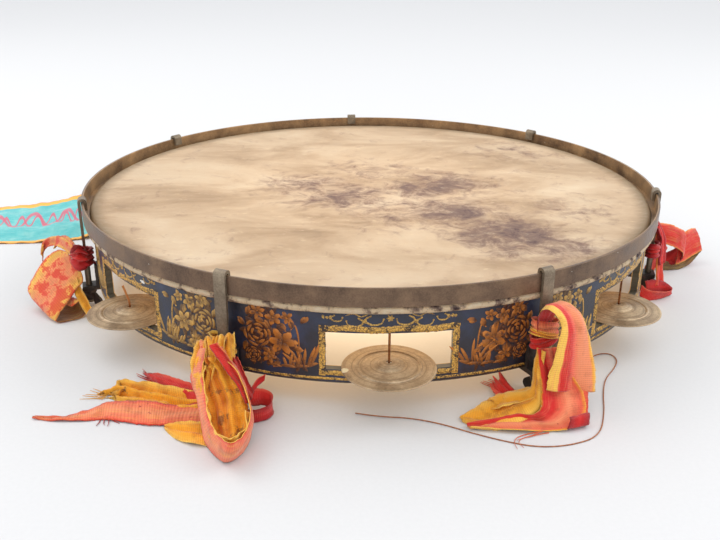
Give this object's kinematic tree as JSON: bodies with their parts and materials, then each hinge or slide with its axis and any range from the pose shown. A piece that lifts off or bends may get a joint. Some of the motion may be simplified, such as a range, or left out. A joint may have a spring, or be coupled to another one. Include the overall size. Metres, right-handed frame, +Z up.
{
  "type": "tambourine",
  "caption": "Antique tambourine with a painted shell, slotted jingles, hooked counter hoop with wing nuts, silk ribbons and a sash.",
  "frame": {"origin": "centre of the drumhead's top face", "axes": "+Z up out of the drumhead, -Y towards the front of the drum as it lies on a table, +X to its right"},
  "size_m": [0.5875, 0.4111, 0.0685],
  "materials": {
    "shell_wood": "dark blue oil paint over wood, with flaking gilt ornament",
    "drum_skin": "old cream drum skin with purple-brown stains",
    "flesh_wire": "plain drawn wire, hidden in the skin's lap",
    "hoop_brass": "aged dark bronze-brown lacquered brass",
    "hook_bronze": "grey-brown worn bronze",
    "foot_iron": "dark oxidised iron",
    "nut_iron": "dark oxidised iron",
    "jingle_brass": "dull tan-bronze spun sheet",
    "pin_copper": "copper-coloured wire",
    "silk_salmon": "ribbed salmon silk ribbon with golden weave",
    "silk_red": "ribbed red silk ribbon",
    "silk_gold": "ribbed yellow-gold silk ribbon",
    "sash_silk": "turquoise silk with orange-gold edging",
    "thread_copper": "coppery loose thread"
  },
  "bodies": {
    "root": {"shell": "shell_wood", "drumhead": "drum_skin", "flesh_hoop": "flesh_wire", "counter_hoop": "hoop_brass", "claw_foot_1": "foot_iron", "claw_foot_2": "foot_iron", "claw_foot_3": "foot_iron", "claw_foot_4": "foot_iron", "claw_foot_5": "foot_iron", "claw_foot_6": "foot_iron", "claw_foot_7": "foot_iron", "jingle_pins": "pin_copper", "bent_jingle_pin": "pin_copper", "ribbon_front_left_knot": "silk_salmon", "ribbon_front_left_loop": "silk_salmon", "ribbon_front_left_long_tail": "silk_salmon", "ribbon_front_left_gold_tail": "silk_gold", "ribbon_front_left_red_tail": "silk_red", "ribbon_front_left_scrap": "silk_gold", "ribbon_front_left_curl": "silk_salmon", "ribbon_front_right_fall": "silk_salmon", "ribbon_front_right_wrap": "silk_gold", "ribbon_front_right_long_tail": "silk_salmon", "ribbon_front_right_rolled_end": "silk_red", "ribbon_front_right_frayed_end": "silk_red", "ribbon_left_knot": "silk_salmon", "ribbon_left_bow": "silk_salmon", "ribbon_left_tail": "silk_salmon", "ribbon_right_knot": "silk_red", "ribbon_right_upper_loop": "silk_red", "ribbon_right_lower_loop": "silk_gold", "sash_knot": "sash_silk", "sash": "sash_silk", "loose_thread": "thread_copper"},
    "hook_1": {"tension_hook_1": "hook_bronze"},
    "nut_1": {"wing_nut_1": "nut_iron"},
    "hook_2": {"tension_hook_2": "hook_bronze"},
    "nut_2": {"wing_nut_2": "nut_iron"},
    "hook_3": {"tension_hook_3": "hook_bronze"},
    "nut_3": {"wing_nut_3": "nut_iron"},
    "hook_4": {"tension_hook_4": "hook_bronze"},
    "nut_4": {"wing_nut_4": "nut_iron"},
    "hook_5": {"tension_hook_5": "hook_bronze"},
    "nut_5": {"wing_nut_5": "nut_iron"},
    "hook_6": {"tension_hook_6": "hook_bronze"},
    "nut_6": {"wing_nut_6": "nut_iron"},
    "hook_7": {"tension_hook_7": "hook_bronze"},
    "nut_7": {"wing_nut_7": "nut_iron"},
    "jingle_body_1": {"jingle_1": "jingle_brass"},
    "jingle_body_2": {"jingle_2": "jingle_brass"},
    "jingle_body_3": {"jingle_3": "jingle_brass"},
    "jingle_body_4": {"jingle_4": "jingle_brass"},
    "jingle_body_5": {"jingle_5": "jingle_brass"},
    "jingle_body_6": {"jingle_6": "jingle_brass"},
    "jingle_body_7": {"jingle_7": "jingle_brass"}
  },
  "joints": [
    {"name": "nut_turn_1", "type": "hinge", "parent": "root", "child": "nut_1", "pos_m": [-0.07221, -0.16608, -0.0528], "axis": [0, 0, 1], "range_deg": [0, 1440]},
    {"name": "hook_lift_1", "type": "slide", "parent": "root", "child": "hook_1", "axis": [0, 0, 1], "range_m": [0, 0.0028]},
    {"name": "nut_turn_2", "type": "hinge", "parent": "root", "child": "nut_2", "pos_m": [0.0839, -0.16049, -0.0528], "axis": [0, 0, 1], "range_deg": [0, 1440]},
    {"name": "hook_lift_2", "type": "slide", "parent": "root", "child": "hook_2", "axis": [0, 0, 1], "range_m": [0, 0.0028]},
    {"name": "nut_turn_3", "type": "hinge", "parent": "root", "child": "nut_3", "pos_m": [0.17846, -0.03083, -0.0528], "axis": [0, 0, 1], "range_deg": [0, 1440]},
    {"name": "hook_lift_3", "type": "slide", "parent": "root", "child": "hook_3", "axis": [0, 0, 1], "range_m": [0, 0.0028]},
    {"name": "nut_turn_4", "type": "hinge", "parent": "root", "child": "nut_4", "pos_m": [0.12917, 0.12693, -0.0528], "axis": [0, 0, 1], "range_deg": [0, 1440]},
    {"name": "hook_lift_4", "type": "slide", "parent": "root", "child": "hook_4", "axis": [0, 0, 1], "range_m": [0, 0.0028]},
    {"name": "nut_turn_5", "type": "hinge", "parent": "root", "child": "nut_5", "pos_m": [-0.01421, 0.18054, -0.0528], "axis": [0, 0, 1], "range_deg": [0, 1440]},
    {"name": "hook_lift_5", "type": "slide", "parent": "root", "child": "hook_5", "axis": [0, 0, 1], "range_m": [0, 0.0028]},
    {"name": "nut_turn_6", "type": "hinge", "parent": "root", "child": "nut_6", "pos_m": [-0.14835, 0.10387, -0.0528], "axis": [0, 0, 1], "range_deg": [0, 1440]},
    {"name": "hook_lift_6", "type": "slide", "parent": "root", "child": "hook_6", "axis": [0, 0, 1], "range_m": [0, 0.0028]},
    {"name": "nut_turn_7", "type": "hinge", "parent": "root", "child": "nut_7", "pos_m": [-0.17253, -0.05506, -0.0528], "axis": [0, 0, 1], "range_deg": [0, 1440]},
    {"name": "hook_lift_7", "type": "slide", "parent": "root", "child": "hook_7", "axis": [0, 0, 1], "range_m": [0, 0.0028]},
    {"name": "jingle_slide_1", "type": "slide", "parent": "root", "child": "jingle_body_1", "axis": [0, 0, 1], "range_m": [0, 0.015]},
    {"name": "jingle_slide_2", "type": "slide", "parent": "root", "child": "jingle_body_2", "axis": [0, 0, 1], "range_m": [0, 0.015]},
    {"name": "jingle_slide_3", "type": "slide", "parent": "root", "child": "jingle_body_3", "axis": [0, 0, 1], "range_m": [0, 0.015]},
    {"name": "jingle_slide_4", "type": "slide", "parent": "root", "child": "jingle_body_4", "axis": [0, 0, 1], "range_m": [0, 0.015]},
    {"name": "jingle_slide_5", "type": "slide", "parent": "root", "child": "jingle_body_5", "axis": [0, 0, 1], "range_m": [0, 0.015]},
    {"name": "jingle_slide_6", "type": "slide", "parent": "root", "child": "jingle_body_6", "axis": [0, 0, 1], "range_m": [0, 0.015]},
    {"name": "jingle_slide_7", "type": "slide", "parent": "root", "child": "jingle_body_7", "axis": [0, 0, 1], "range_m": [0, 0.003]}
  ],
  "couplings": [
    {"joint": "nut_turn_1", "follows": "hook_lift_1", "rad_per_m": 8975.9},
    {"joint": "nut_turn_2", "follows": "hook_lift_2", "rad_per_m": 8975.9},
    {"joint": "nut_turn_3", "follows": "hook_lift_3", "rad_per_m": 8975.9},
    {"joint": "nut_turn_4", "follows": "hook_lift_4", "rad_per_m": 8975.9},
    {"joint": "nut_turn_5", "follows": "hook_lift_5", "rad_per_m": 8975.9},
    {"joint": "nut_turn_6", "follows": "hook_lift_6", "rad_per_m": 8975.9},
    {"joint": "nut_turn_7", "follows": "hook_lift_7", "rad_per_m": 8975.9}
  ]
}
